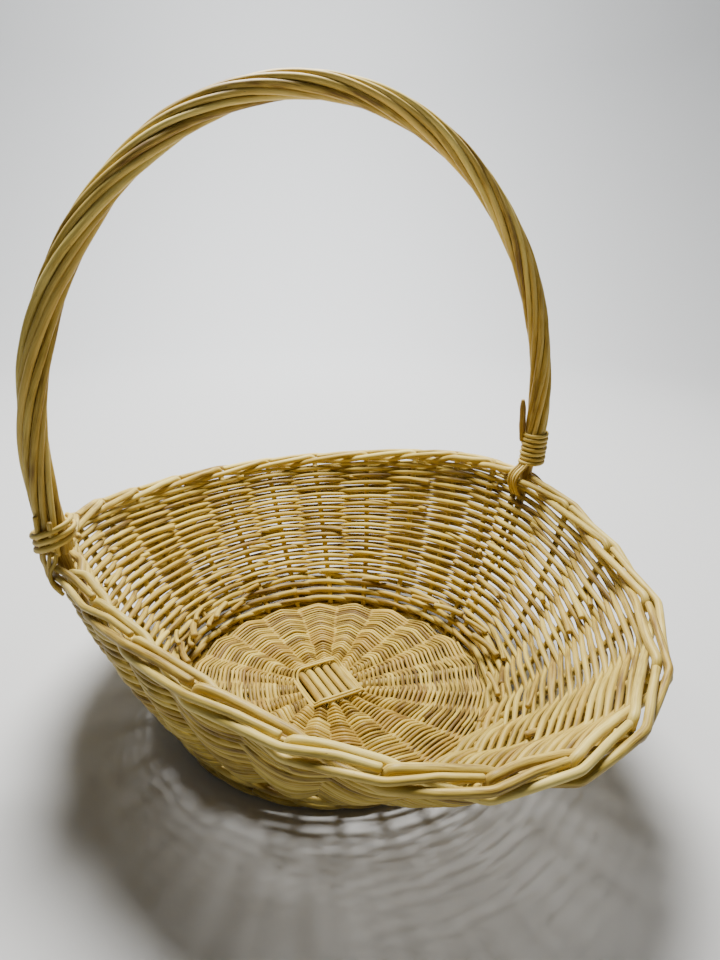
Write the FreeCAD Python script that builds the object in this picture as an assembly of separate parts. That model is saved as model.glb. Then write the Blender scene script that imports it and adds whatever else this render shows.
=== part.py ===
import FreeCAD, Part
import math
import os

os.makedirs("parts", exist_ok=True)
V = FreeCAD.Vector

# ---------------------------------------------------------------- driving dimensions (mm)
# Rim line of the bowl, centre of the border, every 20 degrees from +X towards +Y.
# The bowl is a boat shape: low and wide at the two ends, high and narrow under the handle.
RIM_R = [192, 194, 202, 213, 221.5, 220, 210, 203.5, 199, 195.5,
         194, 209, 236.5, 260, 262, 240, 207, 192]
RIM_Z = [156, 155, 144, 132, 125, 124, 131, 143, 154, 156,
         153.5, 148, 138, 129, 129, 138, 149, 153.5]

BASE_R = 129.0          # wall centre at the base edge
BASE_CY = -6.0          # the round base sits a little forward of the handle plane
BASE_Z = 12.0           # height of the base edge
WALL_BULGE = 8.0        # outward belly of the wall
WALL_HALF = 5.6         # half thickness of the woven wall

BASE_DISC_R = 123.8     # woven base, outside radius
BASE_DISC_T = 10.8      # woven base, thickness
STICK_R = 3.25          # base sticks
STICK_PITCH = 7.5
SLATH_C = (-10.0, -10.0)
SLATH_Z_UNDER = 3.35
SLATH_Z_OVER = 9.95
SPOKE_Z = 5.5

STAKE_R = 2.7
# Each stake stands up at the base edge, passes up the wall and is bent over in the border.
STAKE_FOOT = [8, 22, 36, 51, 66, 81, 95, 109, 123, 137, 151, 165, 181.0,
              192, 205, 218.5, 231.5, 243.5, 255.5, 267, 278.5, 290.5, 303.5, 318.5, 335.5, 360.5]
STAKE_TOP = [12, 25, 39, 54, 69, 82, 95.5, 108.5, 123.5, 137.5, 151.5, 166, 182.8,
             195.5, 209.5, 224, 238, 249, 259.5, 269.5, 280, 291.5, 305.5, 321, 340, 362.8]
FEET = (0.0, 180.0)     # where the bow passes through the border
CHANNEL_GAP = 0.15      # room between a rod and the weave it passes through

BORDER_ROD_R = 2.9
BORDER_W_STAKE = 9.0    # half width of the border's lanes where a stake comes up through them
BORDER_W_GAP = 7.2      # half width between two stakes
BORDER_HALF_H = 4.6     # lanes of the border, up and down
BORDER_SPREAD = 3.6     # extra half width where the border opens round the bow
BORDER_SPAN = 4         # stakes that each rod passes before it ends

HANDLE_ZC = 231.9       # widest height of the bow
HANDLE_HALF = 203.8     # half span of the bow there
HANDLE_RISE = 224.0     # from there to the top of the bow's centre line
HANDLE_LOWER = 270.0    # lower semi-axis: how the legs draw in to the border
HANDLE_LEAN = 0.0653    # sideways lean per mm of height
BOW_R = 4.7
ROPE_RODS = 9
ROPE_ROD_R = 2.45
ROPE_TURNS = 2.75
ROPE_R = BOW_R + ROPE_ROD_R + 0.1
BIND_ROD_R = 1.95
BIND_PITCH = 4.5


# ---------------------------------------------------------------- helpers
def periodic(table, t):
    """Smooth closed curve through a table of equally spaced values, t in radians."""
    n = len(table)
    x = (t / (2 * math.pi)) % 1.0 * n
    i = int(math.floor(x))
    f = x - i
    p0, p1, p2, p3 = (table[(i + k) % n] for k in (-1, 0, 1, 2))
    return 0.5 * (2 * p1 + (p2 - p0) * f + (2 * p0 - 5 * p1 + 4 * p2 - p3) * f * f
                  + (3 * p1 - p0 - 3 * p2 + p3) * f * f * f)


def wall(t, u, d=0.0):
    """Point on the wall: angle t (radians), u from 0 at the base edge to 1 at the border, d outwards."""
    R, Z = periodic(RIM_R, t), periodic(RIM_Z, t)
    rr = BASE_R + (R - BASE_R) * u + WALL_BULGE * 4 * u * (1 - u)
    zz = BASE_Z + (Z - BASE_Z) * u
    dr = (R - BASE_R) + WALL_BULGE * 4 * (1 - 2 * u)
    dz = Z - BASE_Z
    L = math.hypot(dr, dz)
    rr += d * dz / L
    zz -= d * dr / L
    return V(rr * math.cos(t), rr * math.sin(t) + BASE_CY * (1 - u), zz)


def u_below_border(t, drop):
    return 1.0 - drop / (periodic(RIM_Z, t) - BASE_Z)


def catmull(points, per=4):
    """Smooth path through points."""
    out = []
    n = len(points)
    for i in range(n - 1):
        p0 = points[max(i - 1, 0)]
        p1, p2 = points[i], points[i + 1]
        p3 = points[min(i + 2, n - 1)]
        for k in range(per):
            f = k / per
            out.append((p1 * 2 + (p2 - p0) * f + (p0 * 2 - p1 * 5 + p2 * 4 - p3) * f * f
                        + (p1 * 3 - p0 - p2 * 3 + p3) * f * f * f) * 0.5)
    out.append(points[-1])
    return out


def rod(points, radius):
    """Solid round rod along points. radius is a number or one number per point."""
    n = len(points)
    rs = [radius] * n if isinstance(radius, (int, float)) else radius
    tan = []
    for i in range(n):
        d = points[min(i + 1, n - 1)] - points[max(i - 1, 0)]
        d.normalize()
        tan.append(d)
    want = sum((q - p).Length * math.pi * (ra * ra + ra * rb + rb * rb) / 3
               for p, q, ra, rb in zip(points, points[1:], rs, rs[1:]))
    for ref in (V(0.1, 0.2, 1), V(1, 0.3, 0.1), V(0.2, 1, 0.4), V(-0.6, 0.5, 0.6)):
        x = ref.cross(tan[0])
        x.normalize()
        wires = []
        for p, d, r in zip(points, tan, rs):
            x = x - d * x.dot(d)
            x.normalize()
            c = Part.Circle(p, d, r)
            c.XAxis = x
            wires.append(Part.Wire([c.toShape()]))
        # straight, slightly conical lengths from one section to the next
        s = Part.makeLoft(wires, True, True)
        if 0.97 < s.Volume / want < 1.03 and s.isValid():
            return s
    print("rod volume off", round(s.Volume), round(want), n)
    return s


def ring(fn, n=72):
    """Closed smooth wire through fn(angle)."""
    pts = [fn(2 * math.pi * i / n) for i in range(n)]
    c = Part.BSplineCurve()
    c.interpolate(Points=pts, PeriodicFlag=True)
    return c.toShape()


def band(inner, outer, ruled=False):
    """Closed solid between two stacks of rings; each stack runs bottom to top."""
    wi = [Part.Wire([ring(f)]) for f in inner]
    wo = [Part.Wire([ring(f)]) for f in outer]
    si = Part.makeLoft(wi, False, ruled)
    so = Part.makeLoft(wo, False, ruled)
    bottom = Part.makeRuledSurface(wi[0].Edges[0], wo[0].Edges[0])
    top = Part.makeRuledSurface(wi[-1].Edges[0], wo[-1].Edges[0])
    shell = Part.makeShell(si.Faces + so.Faces + [bottom] + [top])
    shell.sewShape()
    s = Part.Solid(shell if shell.ShapeType == "Shell" else shell.Shells[0])
    if s.Volume < 0:
        s.reverse()
    return s


def save(name, solids):
    solids = [s for x in solids for s in (x.Solids or [x])]
    shape = solids[0] if len(solids) == 1 else Part.makeCompound(solids)
    bad = [i for i, s in enumerate(solids) if not s.isValid() or s.Volume <= 0]
    print("%-22s %3d solids  volume %9.0f mm3  bad %s" % (name, len(solids), sum(s.Volume for s in solids), bad))
    shape.exportStep("parts/%s.step" % name)
    return shape


# ---------------------------------------------------------------- base
def spoke_end(deg, r=BASE_DISC_R - 2.5):
    a = math.radians(deg)
    return V(r * math.cos(a), BASE_CY + r * math.sin(a), SPOKE_Z)


def base_stick(over, i, radius):
    """One stick, straight through the slath and opened out to a spoke at each end."""
    cx, cy = SLATH_C
    z = SLATH_Z_OVER if over else SLATH_Z_UNDER
    off = i * STICK_PITCH
    if over:
        e1, e2 = spoke_end(90 - 18 * i), spoke_end(270 + 18 * i)
        a1, a2 = V(cx + off, cy + 19, z), V(cx + off, cy - 19, z)
    else:
        e1, e2 = spoke_end(18 * i), spoke_end(180 - 18 * i)
        a1, a2 = V(cx + 19, cy + off, z), V(cx - 19, cy + off, z)

    def lead(a, e):
        d = e - a
        m1 = a + d * 0.16
        m1.z = SPOKE_Z + (z - SPOKE_Z) * 0.55
        m2 = a + d * 0.42
        m2.z = SPOKE_Z
        m3 = a + d * 0.7
        m3.z = SPOKE_Z
        return m1, m2, m3

    p1, p2, p3 = lead(a1, e1)
    q1, q2, q3 = lead(a2, e2)
    pts = [e1, p3, p2, p1, a1, (a1 + a2) * 0.5, a2, q1, q2, q3, e2]
    return rod(catmull(pts, 2), radius)


sticks_over = [base_stick(True, i, STICK_R) for i in range(-2, 3)]
sticks_under = [base_stick(False, i, STICK_R) for i in range(-2, 3)]
save("base_sticks_over", sticks_over)
save("base_sticks_under", sticks_under)


def tie_loop(half, z_y, z_x, r):
    """Thin rod round the slath: z_y where it crosses the sticks that run along Y, z_x on the other two sides."""
    pts = []
    n = 40
    for k in range(n):
        a = 2 * math.pi * (k + 0.5) / n + math.pi / 4
        c, s = math.cos(a), math.sin(a)
        m = (abs(c) ** 6 + abs(s) ** 6) ** (-1.0 / 6)
        w = min(1.0, max(0.0, (abs(s) - abs(c)) * 1.6 + 0.5))
        w = w * w * (3 - 2 * w)
        pts.append(V(SLATH_C[0] + half * m * c, SLATH_C[1] + half * m * s, z_x + (z_y - z_x) * w))
    return rod(pts, r)


save("slath_tie", [tie_loop(20.6, SLATH_Z_OVER + STICK_R + 1.35, SLATH_Z_UNDER + STICK_R + 1.3, 1.15),
                   tie_loop(23.4, SLATH_Z_OVER - STICK_R - 1.35, SLATH_Z_UNDER + STICK_R + 1.3, 1.15)])

disc = Part.makeCylinder(BASE_DISC_R, BASE_DISC_T, V(0, BASE_CY, 0), V(0, 0, 1))
disc = disc.makeFillet(3.0, [e for e in disc.Edges if abs(e.BoundBox.ZMin - BASE_DISC_T) < 0.01 and e.BoundBox.ZLength < 0.01])
hole = Part.makeBox(52, 52, 20, V(SLATH_C[0] - 26, SLATH_C[1] - 26, -2))
hole = hole.makeFillet(9, [e for e in hole.Edges if e.BoundBox.ZLength > 10])
disc = disc.cut([hole] + [base_stick(o, i, STICK_R + CHANNEL_GAP) for o in (True, False) for i in range(-2, 3)])
save("base_pairing", [disc])


# ---------------------------------------------------------------- stakes and bow
N_STAKES = len(STAKE_TOP)


def stake_wall(k, radius, extra=0.0):
    """The part of stake k inside the wall, foot first, as points and radii."""
    f, g = STAKE_FOOT[k], STAKE_TOP[k]
    foot = wall(math.radians(f), 0.0)
    q = 0.992
    pts = [V(foot.x * q, BASE_CY + (foot.y - BASE_CY) * q, 4.5)]
    top = u_below_border(math.radians(g), 10.5)
    for u in (0.0, 0.10, 0.25, 0.42, 0.6, 0.78, top):
        pts.append(wall(math.radians(f + (g - f) * min(1.0, u / top)), u))
    return pts


def stake_tool(k):
    pts = stake_wall(k, STAKE_R)
    t = math.radians(STAKE_TOP[k])
    pts.append(wall(t, 0.985))
    return rod(catmull(pts, 2)[:-1], STAKE_R + CHANNEL_GAP)


def joint_index(deg):
    """Position round the border counted in stakes; whole numbers at the stakes, with the bow's feet as two of them."""
    knots = [(0.0 if j == N_STAKES - 1 else 180.0 if j == 12 else a) for j, a in enumerate(STAKE_TOP)]
    knots[-1] = 360.0
    d = deg
    turns = 0
    while d < knots[0]:
        d += 360.0
        turns -= 1
    while d >= knots[0] + 360.0:
        d -= 360.0
        turns += 1
    ext = knots + [knots[0] + 360.0]
    for j in range(N_STAKES):
        if ext[j] <= d <= ext[j + 1]:
            return turns * N_STAKES + j + (d - ext[j]) / (ext[j + 1] - ext[j])
    raise ValueError(deg)


def foot_distance(deg):
    return min(math.radians(abs(((deg - f + 180) % 360) - 180)) * 194.0 for f in FEET)


def border_frame(deg):
    t = math.radians(deg)
    c = V(periodic(RIM_R, t) * math.cos(t), periodic(RIM_R, t) * math.sin(t), periodic(RIM_Z, t))
    e = 1e-3
    R2 = periodic(RIM_R, t + e)
    d = V(R2 * math.cos(t + e) - c.x, R2 * math.sin(t + e) - c.y, periodic(RIM_Z, t + e) - c.z)
    d.normalize()
    out = d.cross(V(0, 0, 1))
    out.normalize()
    up = out.cross(d)
    up.normalize()
    return c, d, out, up


def border_point(deg, k):
    """Rod k in the border: it leaves its stake on top, passes inside, under, outside and ends on top, four stakes on."""
    j = joint_index(deg)
    near = 0.5 + 0.5 * math.cos(2 * math.pi * j)
    w = BORDER_W_GAP + (BORDER_W_STAKE - BORDER_W_GAP) * near
    fd = foot_distance(deg)
    w += BORDER_SPREAD * math.exp(-(fd / 15.0) ** 2)
    # the lanes turn a quarter turn from stake to stake, and hold still for a few mm beside the bow
    f = j - math.floor(j)
    if fd < 16.0:
        s = 1.0 if f < 0.5 else -1.0
        g = f if f < 0.5 else 1.0 - f
        f = (0.0 if s > 0 else 1.0) + s * g * (fd / 16.0)
    ph = math.radians(135.0 + 90.0 * (math.floor(j) + f - k))
    c, d, out, up = border_frame(deg)
    return c + out * (w * math.cos(ph)) + up * (BORDER_HALF_H * math.sin(ph))


def stake_rod(k):
    pts = stake_wall(k, STAKE_R)
    rs = [3.0] + [STAKE_R] * (len(pts) - 1)
    a = STAKE_TOP[k]
    c, d, out, up = border_frame(a)
    pts += [c - up * 4.6, c - up * 0.6, c + up * 2.3 + d * 1.5, c + up * 4.3 + d * 5.2 - out * 0.6]
    rs += [STAKE_R, STAKE_R, STAKE_R + 0.05, BORDER_ROD_R - 0.05]
    j0 = float(k)
    end = STAKE_TOP[(k + BORDER_SPAN) % N_STAKES] + (360.0 if k + BORDER_SPAN >= N_STAKES else 0.0)
    mm_per_deg = periodic(RIM_R, math.radians(a)) * math.pi / 180.0
    first = a + 11.0 / mm_per_deg
    last = end - 2.0 / mm_per_deg
    n = 26
    for i in range(n + 1):
        deg = first + (last - first) * i / n
        pts.append(border_point(deg, k))
        rs.append(BORDER_ROD_R - 0.25 * i / n)
    # blend onto the first lane point so that the rod doesn't jump sideways
    head = catmull(pts[:8], 2)
    hr = [rs[min(int(i / 2), 7)] for i in range(len(head))]
    return rod(head + pts[8:], hr + rs[8:])


groups = {"stakes_right": [], "stakes_back": [], "stakes_left": [], "stakes_front": []}
group_names = ["stakes_right", "stakes_back", "stakes_left", "stakes_front"]
for k in range(N_STAKES):
    groups[group_names[int(((STAKE_TOP[k] + 45) % 360) // 90)]].append(stake_rod(k))
for nm in group_names:
    save(nm, groups[nm])


def bow_point(z, side):
    x = HANDLE_HALF * math.sqrt(1 - ((HANDLE_ZC - z) / HANDLE_LOWER) ** 2)
    return V(side * x, HANDLE_LEAN * (z - 157.0), z)


def bow_line():
    """Centre line of the bow above the border, left leg to right leg."""
    pts = [bow_point(z, -1) for z in (163, 178, 195, 213)]
    for k in range(0, 25):
        a = math.pi * k / 24
        z = HANDLE_ZC + HANDLE_RISE * math.sin(a)
        pts.append(V(-HANDLE_HALF * math.cos(a), HANDLE_LEAN * (z - 157.0), z))
    pts += [bow_point(z, 1) for z in (213, 195, 178, 163)]
    return pts


def leg_angle(side, u):
    """The leg slants away from the stake beside it as it goes down."""
    top, deep = (180.0, 178.3) if side < 0 else (0.0, -1.8)
    return math.radians(top + (deep - top) * min(1.0, max(0.0, (0.985 - u) / 0.565)))


def leg(side):
    """The bow's sharpened end inside the wall, border first."""
    return [(wall(leg_angle(side, u), u), r) for u, r in ((0.985, BOW_R), (0.935, 4.6), (0.88, 3.8), (0.80, 3.2), (0.68, 2.7), (0.55, 2.2), (0.42, 1.6))]


def bow(extra=0.0):
    left, right = leg(-1), leg(1)
    mid = bow_line()
    pts = [p for p, r in reversed(left)] + mid + [p for p, r in right]
    rs = [r + extra for p, r in reversed(left)] + [BOW_R + extra] * len(mid) + [r + extra for p, r in right]
    return rod(pts, rs)


save("handle_bow", [bow()])


def leg_channel(side):
    seq = leg(side)
    end = wall(leg_angle(side, 0.40), 0.40)
    pts = [p for p, r in seq] + [end]
    rs = [r + CHANNEL_GAP for p, r in seq] + [1.6]
    return rod(pts, rs)


# ---------------------------------------------------------------- wall weave
stake_tools = [stake_tool(k) for k in range(N_STAKES)]
leg_tools = [leg_channel(-1), leg_channel(1)]


def wall_band(u0, u1, d_in, d_out, tools, steps=3):
    f0 = u0 if callable(u0) else (lambda t: u0)
    f1 = u1 if callable(u1) else (lambda t: u1)

    def at(k, d):
        return lambda t: wall(t, f0(t) + (f1(t) - f0(t)) * k / steps, d)

    s = band([at(k, d_in) for k in range(steps + 1)], [at(k, d_out) for k in range(steps + 1)])
    return s.cut(tools)


def foot_ring(r, z):
    return lambda t: V(r * math.cos(t), BASE_CY + r * math.sin(t), z)


upsett = band(
    [foot_ring(BASE_DISC_R + 0.4, 0.0), foot_ring(BASE_DISC_R + 0.5, 9.0), lambda t: wall(t, 0.065, -5.3), lambda t: wall(t, 0.14, -5.3)],
    [foot_ring(136.0, 0.0), foot_ring(138.8, 5.0), lambda t: wall(t, 0.065, 6.2), lambda t: wall(t, 0.14, 6.2)], ruled=True)
save("upsett_wale", [upsett.cut(stake_tools)])
save("siding_lower", [wall_band(0.1425, 0.40, -WALL_HALF, WALL_HALF, stake_tools)])
save("siding_middle", [wall_band(0.4025, 0.66, -WALL_HALF, WALL_HALF, stake_tools + leg_tools)])
save("siding_upper", [wall_band(0.6625, lambda t: u_below_border(t, 8.6), -WALL_HALF, WALL_HALF, stake_tools + leg_tools)])


def butt(deg, u, length, lift, radius):
    """Cut end of an upsett rod that stands out on the inside."""
    t = math.radians(deg)
    a = wall(t, u, -WALL_HALF - radius - 0.4)
    along = V(-math.sin(t), math.cos(t), 0)
    inward = V(-math.cos(t), -math.sin(t), 0)
    b = a + along * (length * 0.75) + inward * (length * 0.50) + V(0, 0, lift)
    return rod([a, a + (b - a) * 0.5, b], [radius, radius, radius * 0.96])


BUTTS = [(118, 0.10, 17, 1, 2.6), (134, 0.12, 22, 2, 2.9), (149, 0.09, 19, 0, 2.7), (163, 0.12, 23, 3, 2.8),
         (181, 0.10, 18, 1, 2.6), (338, 0.11, 20, 2, 2.8), (8, 0.10, 17, 1, 2.6)]
save("upsett_butts", [butt(*b) for b in BUTTS])


# ---------------------------------------------------------------- handle roping and bindings
def frames(points):
    n = len(points)
    tan = []
    for i in range(n):
        d = points[min(i + 1, n - 1)] - points[max(i - 1, 0)]
        d.normalize()
        tan.append(d)
    x = V(0, 1, 0)
    out = []
    for p, d in zip(points, tan):
        x = x - d * x.dot(d)
        x.normalize()
        y = d.cross(x)
        out.append((p, d, V(x), y))
    return out


def resample(points, step):
    pts = catmull(points, 8)
    acc = [0.0]
    for a, b in zip(pts, pts[1:]):
        acc.append(acc[-1] + (b - a).Length)
    n = max(2, int(round(acc[-1] / step)))
    out, j = [], 0
    for k in range(n + 1):
        s = acc[-1] * k / n
        while j < len(acc) - 2 and acc[j + 1] < s:
            j += 1
        f = (s - acc[j]) / (acc[j + 1] - acc[j])
        out.append(pts[j] + (pts[j + 1] - pts[j]) * f)
    return out


def above(points, z):
    return [p for p in points if p.z >= z]


rope_path = above(resample(bow_line(), 1.0), 168.6)[::14]
rope = frames(rope_path)
rods = []
for k in range(ROPE_RODS):
    a0 = 2 * math.pi * k / ROPE_RODS
    n = len(rope) - 1
    pts = []
    for i, (p, d, x, y) in enumerate(rope):
        a = a0 + 2 * math.pi * ROPE_TURNS * i / n
        pts.append(p + x * (ROPE_R * math.cos(a)) + y * (ROPE_R * math.sin(a)))
    rods.append(rod(pts, ROPE_ROD_R))
save("handle_rope_rods", rods)


def binding(side, z0, turns, r_in):
    R = r_in + BIND_ROD_R + 0.15
    height = BIND_PITCH * turns
    helix = Part.makeHelix(BIND_PITCH, height, R)
    wire = Part.Wire(helix.Edges)
    profile = Part.Wire([Part.Circle(V(R, 0, 0), V(0, 1, 0), BIND_ROD_R).toShape()])
    s = wire.makePipeShell([profile], True, True)
    p, q = bow_point(z0, side), bow_point(z0 + height, side)
    d = q - p
    d.normalize()
    s.Placement = FreeCAD.Placement(p, FreeCAD.Rotation(V(0, 0, 1), d))
    return s


ROPE_OUT = ROPE_R + ROPE_ROD_R
save("left_binding", [binding(-1, 173.4, 3.0, ROPE_OUT)])
save("right_binding", [binding(1, 170.9, 7.0, ROPE_OUT)])


def tails(side_x, ys, pts2d, r):
    """Rope rod ends that loop over the border; pts2d is (x, z) in the plane of the bow."""
    out = []
    for k, y in enumerate(ys):
        pts = [V(side_x * x, y, z) for x, z in pts2d]
        out.append(rod(catmull(pts, 3), r))
    return out


# left: four fine ends fan out below the binding and run down the outside of the border, towards the front
left_tails = []
for k, deg in enumerate((188, 208, 230, 252)):
    a = math.radians(deg)
    c = bow_point(171.0, -1)
    o = V(math.cos(a), math.sin(a), 0) * 11.9
    pts = [c + o + V(0, 0, -1.6), c + o + V(0, 0, -4.5), V(-209.2 + 0.4 * k, -1.0 - 2.9 * k, 162.0),
           V(-210.2 + 0.3 * k, -3.4 - 2.6 * k, 156.0), V(-208.6, -5.4 - 2.6 * k, 150.5), V(-205.0, -7.0 - 2.6 * k, 146.0)]
    left_tails.append(rod(catmull(pts, 3), 1.2))
save("left_rope_tails", left_tails)
save("right_rope_tails", tails(1, (-4.5, -1.5, 1.6, 4.6),
                               [(187.6, 165.9), (181.6, 166.0), (177.6, 162.6), (176.8, 155.5), (178.4, 150.0), (180.8, 146.0)], 1.25))

# broken rod end standing just above the right binding, and cut ends above the left one
c = bow_point(207.0, 1)
save("right_broken_stub", [rod([c + V(-11.5, 6.4, -2.2), c + V(-11.9, 6.5, 9.0), c + V(-12.7, 6.8, 21.0)], [3.0, 3.0, 2.0])])
stubs = []
for ang, h in ((211, 8.5), (257, 6.5), (60, 5.0)):
    a = math.radians(ang)
    c = bow_point(190.0, -1)
    o = V(11.6 * math.cos(a), 11.6 * math.sin(a), -0.5)
    stubs.append(rod([c + o, c + o + V(0, 0, h * 0.5), c + o * 1.02 + V(0, 0, h)], [1.7, 1.7, 1.6]))
save("left_stub_ends", stubs)
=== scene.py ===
import math

import bpy
import numpy as np
from mathutils import Matrix, Vector


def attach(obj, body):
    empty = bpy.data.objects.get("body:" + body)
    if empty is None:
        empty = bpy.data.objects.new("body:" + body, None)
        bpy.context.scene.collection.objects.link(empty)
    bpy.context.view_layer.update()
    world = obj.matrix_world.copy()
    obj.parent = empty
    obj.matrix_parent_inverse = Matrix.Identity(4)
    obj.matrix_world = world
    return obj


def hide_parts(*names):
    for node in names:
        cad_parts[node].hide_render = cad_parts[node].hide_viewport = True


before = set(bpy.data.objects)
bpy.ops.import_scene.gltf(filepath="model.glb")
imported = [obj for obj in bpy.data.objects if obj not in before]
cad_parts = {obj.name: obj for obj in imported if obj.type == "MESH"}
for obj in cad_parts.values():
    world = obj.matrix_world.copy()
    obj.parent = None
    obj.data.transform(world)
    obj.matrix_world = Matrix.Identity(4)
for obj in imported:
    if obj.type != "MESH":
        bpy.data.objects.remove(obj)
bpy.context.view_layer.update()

rng = np.random.RandomState(20)
MM = 0.001
TAU = 2 * math.pi

# ------------------------------------------------------------------ the basket's own shape, as in part.py (mm)
RIM_R = np.array([192, 194, 202, 213, 221.5, 220, 210, 203.5, 199, 195.5, 194, 209, 236.5, 260, 262, 240, 207, 192], float)
RIM_Z = np.array([156, 155, 144, 132, 125, 124, 131, 143, 154, 156, 153.5, 148, 138, 129, 129, 138, 149, 153.5], float)
BASE_R, BASE_CY, BASE_Z, BULGE = 129.0, -6.0, 12.0, 8.0
STAKE_FOOT = np.array([8, 22, 36, 51, 66, 81, 95, 109, 123, 137, 151, 165, 181.0,
                       192, 205, 218.5, 231.5, 243.5, 255.5, 267, 278.5, 290.5, 303.5, 318.5, 335.5, 360.5])
STAKE_TOP = np.array([12, 25, 39, 54, 69, 82, 95.5, 108.5, 123.5, 137.5, 151.5, 166, 182.8,
                      195.5, 209.5, 224, 238, 249, 259.5, 269.5, 280, 291.5, 305.5, 321, 340, 362.8])
K = len(STAKE_TOP)
HANDLE_ZC, HANDLE_HALF, HANDLE_RISE, HANDLE_LOWER, HANDLE_LEAN = 231.9, 203.8, 224.0, 270.0, 0.0653
SLATH_C = np.array([-10.0, -10.0])


def periodic(table, t):
    n = len(table)
    x = (np.asarray(t, float) / TAU) % 1.0 * n
    i = np.floor(x).astype(int)
    f = x - i
    p0, p1, p2, p3 = (table[(i + k) % n] for k in (-1, 0, 1, 2))
    return 0.5 * (2 * p1 + (p2 - p0) * f + (2 * p0 - 5 * p1 + 4 * p2 - p3) * f * f + (3 * p1 - p0 - 3 * p2 + p3) * f ** 3)


def wall(t, u, d=0.0):
    """Points on the wall and its outward normal. t radians, u 0..1, d mm outwards."""
    t, u = np.broadcast_arrays(np.asarray(t, float), np.asarray(u, float))
    R, Z = periodic(RIM_R, t), periodic(RIM_Z, t)
    rr = BASE_R + (R - BASE_R) * u + BULGE * 4 * u * (1 - u)
    zz = BASE_Z + (Z - BASE_Z) * u
    dr = (R - BASE_R) + BULGE * 4 * (1 - 2 * u)
    dz = Z - BASE_Z
    L = np.hypot(dr, dz)
    nr, nz = dz / L, -dr / L
    rr = rr + d * nr
    zz = zz + d * nz
    P = np.stack([rr * np.cos(t), rr * np.sin(t) + BASE_CY * (1 - u), zz], -1)
    N = np.stack([nr * np.cos(t), nr * np.sin(t), nz], -1)
    return P, N


def rim_frame(deg):
    """Border centre line: point, along, outwards, up."""
    t = np.radians(np.asarray(deg, float))

    def c(tt):
        r = periodic(RIM_R, tt)
        return np.stack([r * np.cos(tt), r * np.sin(tt), periodic(RIM_Z, tt)], -1)

    p = c(t)
    d = c(t + 1e-3) - c(t - 1e-3)
    d /= np.linalg.norm(d, axis=-1, keepdims=True)
    out = np.cross(d, np.array([0, 0, 1.0]))
    out /= np.linalg.norm(out, axis=-1, keepdims=True)
    return p, d, out, np.cross(out, d)


def stake_angle(j, u):
    """Angle in degrees of the continuous stake number j at wall height u."""
    j = np.asarray(j, float)
    f = np.clip(np.asarray(u, float) / 0.93, 0, 1)
    k = np.floor(j).astype(int)
    g = j - k
    turn = np.floor_divide(k, K)
    a0 = STAKE_FOOT[k % K] + (STAKE_TOP[k % K] - STAKE_FOOT[k % K]) * f + 360.0 * turn
    k1 = k + 1
    turn1 = np.floor_divide(k1, K)
    a1 = STAKE_FOOT[k1 % K] + (STAKE_TOP[k1 % K] - STAKE_FOOT[k1 % K]) * f + 360.0 * turn1
    return a0 * (1 - g) + a1 * g


# ------------------------------------------------------------------ rods as real tubes
def noise1(s, scale, seed):
    """Smooth noise along a length."""
    x = np.asarray(s, float) / scale + seed * 17.31
    return (np.sin(x * 1.0 + seed) + np.sin(x * 2.37 + seed * 2.1) * 0.6 + np.sin(x * 5.11 + seed * 0.7) * 0.35) / 1.95


def arc_length(P):
    return np.concatenate([[0], np.cumsum(np.linalg.norm(np.diff(P, axis=0), axis=1))])


def path(ctrl, sigma=2.0, step=2.5):
    """Control points joined by straight runs, resampled and rounded at the corners (mm)."""
    ctrl = np.asarray(ctrl, float)
    s = arc_length(ctrl)
    n = max(4, int(s[-1] / 0.5))
    q = np.linspace(0, s[-1], n + 1)
    P = np.stack([np.interp(q, s, ctrl[:, i]) for i in range(3)], -1)
    w = int(max(1, round(3 * sigma / 0.5)))
    kern = np.exp(-0.5 * (np.arange(-w, w + 1) * 0.5 / sigma) ** 2)
    kern /= kern.sum()
    head = P[0] - (P[1] - P[0]) * np.arange(w, 0, -1)[:, None]
    tail = P[-1] + (P[-1] - P[-2]) * np.arange(1, w + 1)[:, None]
    E = np.concatenate([head, P, tail])
    S = np.stack([np.convolve(E[:, i], kern, "valid") for i in range(3)], -1)
    s2 = arc_length(S)
    m = max(3, int(round(s2[-1] / step)))
    q2 = np.linspace(0, s2[-1], m + 1)
    return np.stack([np.interp(q2, s2, S[:, i]) for i in range(3)], -1)


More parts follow.
